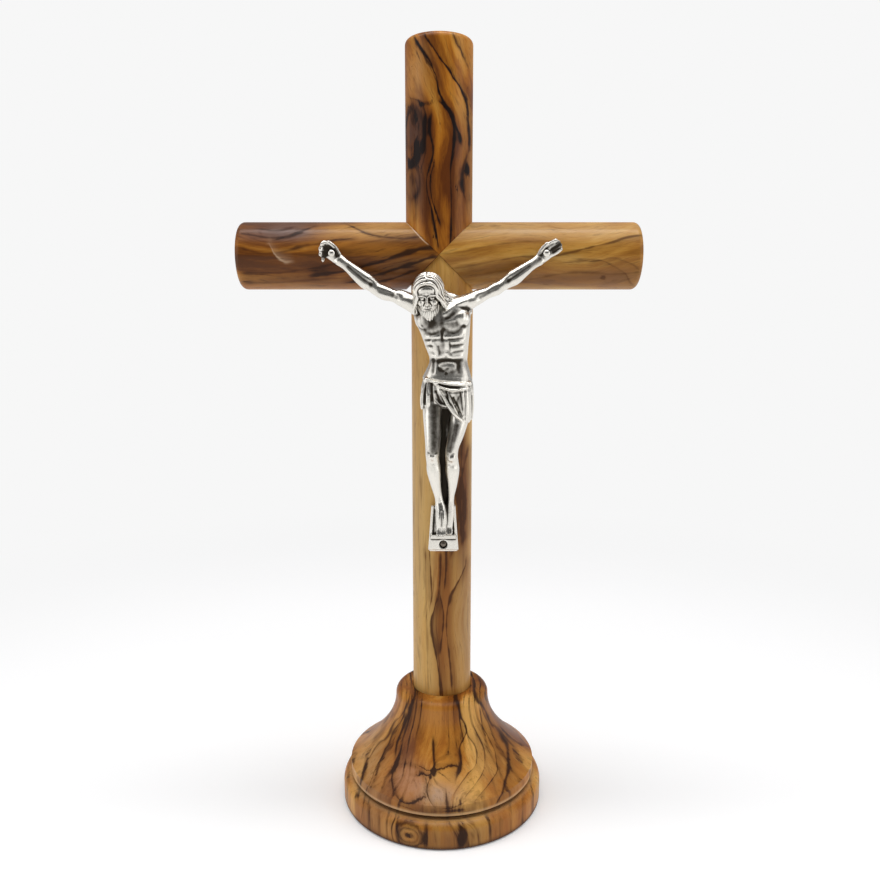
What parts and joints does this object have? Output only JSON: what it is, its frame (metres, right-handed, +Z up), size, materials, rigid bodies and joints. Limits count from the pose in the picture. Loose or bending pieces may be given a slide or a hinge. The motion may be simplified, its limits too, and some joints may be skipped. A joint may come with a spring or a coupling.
{
  "type": "standing crucifix",
  "caption": "Free-standing cross of round olive wood rods mitred at the crossing, on a turned bell-shaped foot, with a cast silver-coloured figure pinned to its front.",
  "frame": {"origin": "on the table, midway between the ends of the crossbar and under the middle of the foot from front to back", "axes": "+Z up along the post, +X along the crossbar to the viewer's right, -Y towards the viewer, the side that the figure is on"},
  "size_m": [0.1262, 0.069, 0.25],
  "materials": {
    "olive_wood_base": "satin varnish, golden brown with dark grain lines",
    "olive_wood_post": "satin varnish, yellow-tan on one side and brown on the other",
    "olive_wood_top": "satin varnish, reddish with dark streaks and a knot",
    "olive_wood_left": "satin varnish, dark brown",
    "olive_wood_right": "satin varnish, tan above and brown below",
    "dowel_wood": "bare beech",
    "zinc_plated_steel": "zinc plated",
    "antique_silver": "polished cast metal, silver plated, blackened in the recesses",
    "silver_pins": "polished, silver plated"
  },
  "bodies": {
    "root": {"base": "olive_wood_base", "post": "olive_wood_post", "top_arm": "olive_wood_top", "left_arm": "olive_wood_left", "right_arm": "olive_wood_right", "mitre_dowel_top_right": "dowel_wood", "mitre_dowel_bottom_right": "dowel_wood", "mitre_dowel_bottom_left": "dowel_wood", "mitre_dowel_top_left": "dowel_wood", "base_screw": "zinc_plated_steel", "corpus": "antique_silver", "left_palm_pin": "silver_pins", "right_palm_pin": "silver_pins", "plaque_pin": "silver_pins"}
  },
  "joints": []
}
